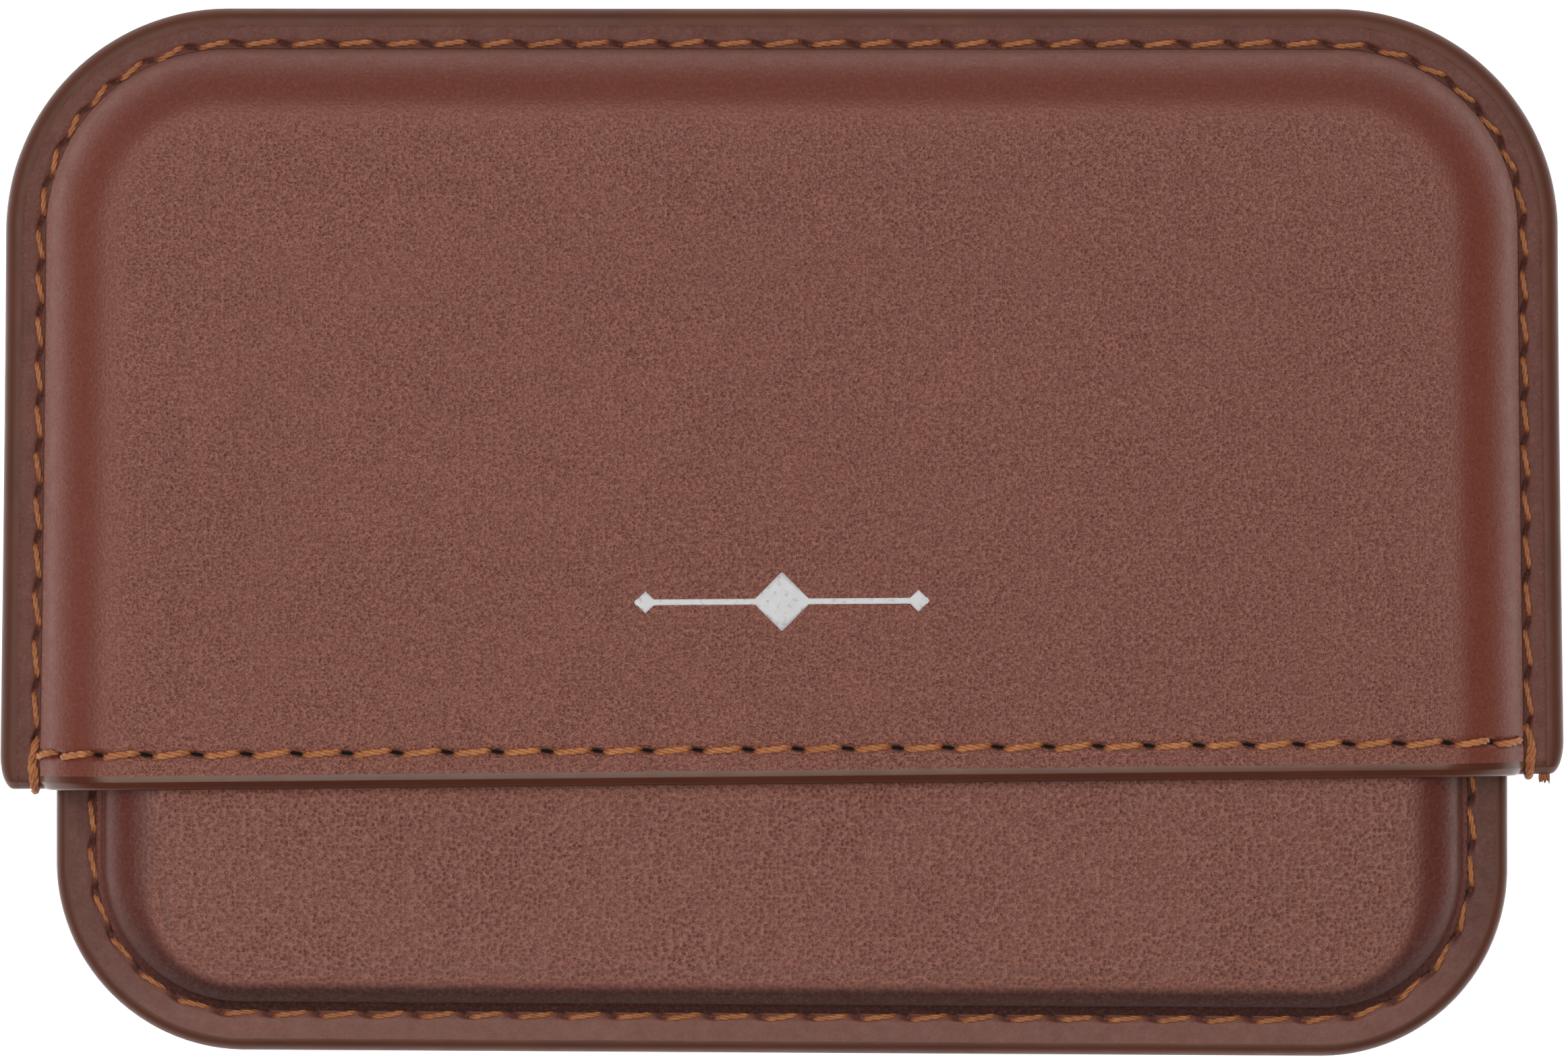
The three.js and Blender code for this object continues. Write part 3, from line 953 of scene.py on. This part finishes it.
def leather_colour(n, base, deep, cell, pore, speckle, marks):
    """The leather's colour, from the flat's and the shoulders'. marks are what varies it."""
    tone, flange, burnt, hole, ring, between, smoothed = marks
    colour = n.mix(n.span(n.noise(70, 4, 0.6), 0.3, 0.7), (*base, 1), scaled(base, 0.92))
    # Painted shade: the leather darkens towards +X, as the light falls off to that side.
    across = n.add("ShaderNodeSeparateXYZ", {0: n.place()}).outputs["X"]
    colour = n.mix(n.span(across, -0.02, 0.05), colour, scaled(base, 0.86))
    mottle = n.span(n.noise(420, 4, 0.65), 0.35, 0.68)
    colour = n.mix(n.times(mottle, 0.12), colour, scaled(base, 1.25))
    # The shoulders' deep colour: partly painted shade where the surface turns from the light,
    # partly the stretched leather's own deeper red.
    colour = n.mix(n.times(tone, 0.95), colour, (*deep, 1))
    # Painted shade: the closed end's wall goes near black.
    colour = n.mix(burnt, colour, scaled(deep, 0.25, 0.1, 0.05))
    # The flange is darker than the flat, by an uneven amount.
    flange_unevenness = n.span(n.noise(240, 4, 0.7), 0.3, 0.7, 0.82, 1.0)
    colour = n.mix(n.times(flange, flange_unevenness), colour, scaled(base, 0.27, 0.185, 0.165))

    colour = n.mix(n.times(between, 0.4), colour, scaled(base, 1.28, 1.2, 1.05))
    colour = n.mix(n.times(ring, 0.85 * pore), colour, scaled(base, 0.42, 0.3, 0.31))
    fleck = n.span(n.noise(cell * 2.3, 2, 0.6), 0.4, 0.62)
    fleck = n.times(fleck, n.span(smoothed, 0, 1, speckle, 0.3 * speckle))
    colour = n.mix(fleck, colour, scaled(base, 0.46, 0.33, 0.33))
    speck = n.times(n.span(n.noise(4600, 3, 0.7), 0.52, 0.7), smoothed)
    colour = n.mix(n.times(speck, 0.3), colour, scaled(base, 0.85))
    pit = n.times(n.span(n.noise(3900, 3, 0.7), 0.48, 0.3), smoothed)
    colour = n.mix(n.times(pit, 0.4), colour, scaled(deep, 0.45))
    return n.mix(hole, colour, HOLE_SHADE)


def pores(n, cell, flatness):
    """The rings of the pores, broken here and there, and the leather between them."""
    distance, lot, other_lot = n.cells(cell, 0.00007, 0.9)
    patch = n.span(n.noise(150, 2), 0.35, 0.65, 0.7, 1)
    strength = n.times(n.times(n.span(lot, 0, 1, 0.4, 1), patch), flatness)
    broken = n.span(n.noise(cell * 1.5, 1), 0.36, 0.56, 0.3, 1)
    radius = n.span(other_lot, 0, 1, 0.14, 0.24)
    ring = n.less(1.0, n.times(n.math("ABSOLUTE", n.less(distance, radius)), 7.0), clamp=True)
    ring = n.times(n.times(ring, broken), strength)
    return ring, n.times(n.span(distance, 0.34, 0.6), flatness)


def leather_material(name, base, deep, cell, pore, grain, speckle):
    """base is the flat's colour and deep the shoulders'. cell is the number of grain cells a
    metre, pore the strength of the ring-shaped pores, grain that of the pebbling, and speckle
    that of the dark flecks."""
    n = Nodes(name)
    tone, flange, burnt = (n.mark(k) for k in ("tone", "flange", "burnt"))
    hole = n.span(n.mark("hole"), 0.15, 0.6)
    flatness = n.less(1.0, n.times(tone, 0.85), clamp=True)
    flatness = n.times(flatness, n.span(flange, 0, 0.25, 1, 0.1))
    ring, between = pores(n, cell, flatness)
    marks = (tone, flange, burnt, hole, ring, between, n.math("MAXIMUM", tone, flange))
    n.give("Base Color", leather_colour(n, base, deep, cell, pore, speckle, marks))

    rough = n.span(n.noise(900, 3, 0.6), 0.3, 0.7, 0.4, 0.52)
    dull = n.math("MAXIMUM", n.times(flange, 0.2), n.times(burnt, 0.5))
    n.give("Roughness", n.math("ADD", rough, n.math("MAXIMUM", dull, hole)))
    n.give("IOR", 1.58)
    n.give("Specular Tint", (1.0, 0.92, 0.86, 1))

    normal = n.bump(n.less(n.times(between, 0.7), ring), 0.00005, pore)
    pebble = n.times(n.span(n.noise(cell * 1.9, 2, 0.5), 0.3, 0.7), flatness)
    normal = n.bump(pebble, 0.0001, grain, normal)
    n.give("Normal", n.bump(n.noise(6500, 3, 0.7), 0.00002, 0.7, normal))
    return n.material


def paint_material():
    n = Nodes("edge_paint")
    colour = n.mix(n.span(n.noise(160, 3, 0.6), 0.3, 0.7),
                   (0.13, 0.034, 0.018, 1), (0.105, 0.028, 0.015, 1))
    colour = n.mix(n.span(n.mark("hole"), 0.25, 0.75), colour, HOLE_SHADE)
    n.give("Base Color", colour)
    gloss = n.span(n.noise(500), 0.3, 0.7, 0.26, 0.34)
    n.give("Roughness", n.math("ADD", gloss, n.times(n.mark("flange"), 0.25)))
    n.give("Specular Tint", (1.0, 0.88, 0.76, 1))
    n.give("Normal", n.bump(n.noise(700, 3), 0.00002, 0.35))
    return n.material


def plain_material(name, tint, share, light, dark, rough, relief, strength):
    """A mottle of two colours. tint and relief are noises, and rough one number or a range."""
    n = Nodes(name)
    n.give("Base Color", n.mix(n.span(n.noise(*tint), *share), (*light, 1), (*dark, 1)))
    if isinstance(rough, tuple):
        rough = n.span(n.noise(1500), 0.3, 0.7, *rough)
    n.give("Roughness", rough)
    n.give("Normal", n.bump(n.noise(*relief), 0.00003, strength))
    return n.material


def thread_material():
    n = Nodes("waxed_thread")
    tint = n.noise(2200, 4, 0.7)
    colour = n.mix(n.span(tint, 0.3, 0.7), (0.78, 0.315, 0.115, 1), (0.42, 0.135, 0.044, 1))
    # Darker thread where the tone mark is set: painted shade at the stitches' ends and along the
    # seam's groove, and darker thread at the tacks and the frayed end.
    colour = n.mix(n.times(n.mark("tone"), 0.6), colour, (0.2, 0.05, 0.015, 1))
    n.give("Base Color", colour)
    n.give("Roughness", n.span(n.noise(1200), 0.3, 0.7, 0.45, 0.65))
    n.give("Normal", n.bump(n.noise(9000, 2), 0.00002, 0.7))
    return n.material


leather_cover = leather_material(
    "cover_leather", (0.425, 0.163, 0.119), (0.19, 0.029, 0.0105), 3600, 0.9, 0.65, 0.8)
leather_pouch = leather_material(
    "pouch_leather", (0.365, 0.136, 0.098), (0.115, 0.012, 0.0045), 3100, 1.0, 0.5, 0.5)
paint = paint_material()
thread = thread_material()
lining = plain_material("lining_leather", (300, 4), (0.35, 0.65), (0.25, 0.11, 0.055),
                        (0.19, 0.08, 0.04), 0.8, (1800, 3), 0.8)
foil = plain_material("foil", (2500, 3), (0.55, 0.75), (0.85, 0.85, 0.85),
                      (0.6, 0.5, 0.47), (0.35, 0.6), (2300, 3), 0.6)
board = plain_material("stiffener_board", (800, 5), (0.3, 0.7), (0.4, 0.27, 0.16),
                       (0.3, 0.2, 0.12), 0.9, (3000, 3), 0.8)

# ---- Pieces ----

for half, leather in ((cover, leather_cover), (pouch, leather_pouch)):
    for face, side in (("front", 1), ("back", -1)):
        prefix = f"{half.name}_{face}"
        pieces = (
            ("shell", leather_mesh(half), [leather, paint], "leather", "outer_leather"),
            ("inner_lining", lining_mesh(half), [lining], "lining", "lining_leather"),
            ("seam_stitches", seam_stitches(half, side), [thread], "seam_thread", "waxed_thread"),
            ("mouth_stitches", mouth_stitches(half, side), [thread], "mouth_thread",
             "waxed_thread"))
        for piece, build, materials, node, slot in pieces:
            mesh_piece(f"{prefix}_{piece}", build, half, side, materials, f"{prefix}_{node}")

    for name, side in (("left", -half.facing), ("right", half.facing)):
        build = bar_tack(half, side)
        if (half.name, name) == ("cover", "right"):
            frayed_end(build, half, side)
        mesh_piece(f"{half.name}_{name}_mouth_tack", build, half, 1, [thread],
                   f"{half.name}_{name}_bar_tack")

mesh_piece("cover_foil_mark", foil_mesh(cover), cover, 1, [foil],
           "cover_foil_ornament")

for name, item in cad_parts.items():
    if name.endswith("stiffener"):
        item.data.materials.clear()
        item.data.materials.append(board)

# ---- Stage, light and camera ----

# Metres from here on.
FLOOR_REACH, FLOOR_Z = 3.0, -5e-5
LENS, SENSOR = 200, 36  # millimetres
VIEW_WIDTH = 0.10631  # the picture's width at the height in focus
VIEW_CENTRE = (0.00014, 0.00015)
VIEW_HEIGHT = 0.0066  # of the seam

scene = bpy.context.scene
floor_mesh = bpy.data.meshes.new("floor")
corners = ((-1, -1), (1, -1), (1, 1), (-1, 1))
floor_mesh.from_pydata(
    [(FLOOR_REACH * x, FLOOR_REACH * y, FLOOR_Z) for x, y in corners], [], [(0, 1, 2, 3)])
floor = bpy.data.objects.new("floor", floor_mesh)
scene.collection.objects.link(floor)
floor_nodes = Nodes("floor")
floor_nodes.give("Base Color", (0.9, 0.9, 0.9, 1))
floor_nodes.give("Roughness", 0.9)
floor_nodes.give("Emission Color", (1, 1, 1, 1))
floor_nodes.give("Emission Strength", 0.9)
floor_mesh.materials.append(floor_nodes.material)

world = bpy.data.worlds.new("studio")
scene.world = world
world.use_nodes = True
background = world.node_tree.nodes["Background"]
background.inputs["Color"].default_value = (1, 1, 1, 1)
background.inputs["Strength"].default_value = 0.08


def area_light(name, place, width, height, power):
    """A soft light that faces the origin."""
    data = bpy.data.lights.new(name, "AREA")
    data.shape = "RECTANGLE"
    data.size, data.size_y, data.energy = width, height, power
    lamp = bpy.data.objects.new(name, data)
    lamp.location = place
    lamp.rotation_euler = (-Vector(place)).to_track_quat("-Z", "Y").to_euler()
    scene.collection.objects.link(lamp)


area_light("overhead", (-0.12, 0.1, 1.25), 1.25, 0.85, 11.1)
area_light("left", (-0.5, 0.05, 0.1), 0.5, 0.14, 0.09)
area_light("right", (0.55, 0.05, 0.1), 0.5, 0.14, 0.03)

camera_data = bpy.data.cameras.new("camera")
camera_data.lens = LENS
camera_data.sensor_width = SENSOR
camera = bpy.data.objects.new("camera", camera_data)
camera.location = (*VIEW_CENTRE, VIEW_HEIGHT + VIEW_WIDTH * LENS / SENSOR)
scene.collection.objects.link(camera)
scene.camera = camera
scene.view_settings.view_transform = "Standard"
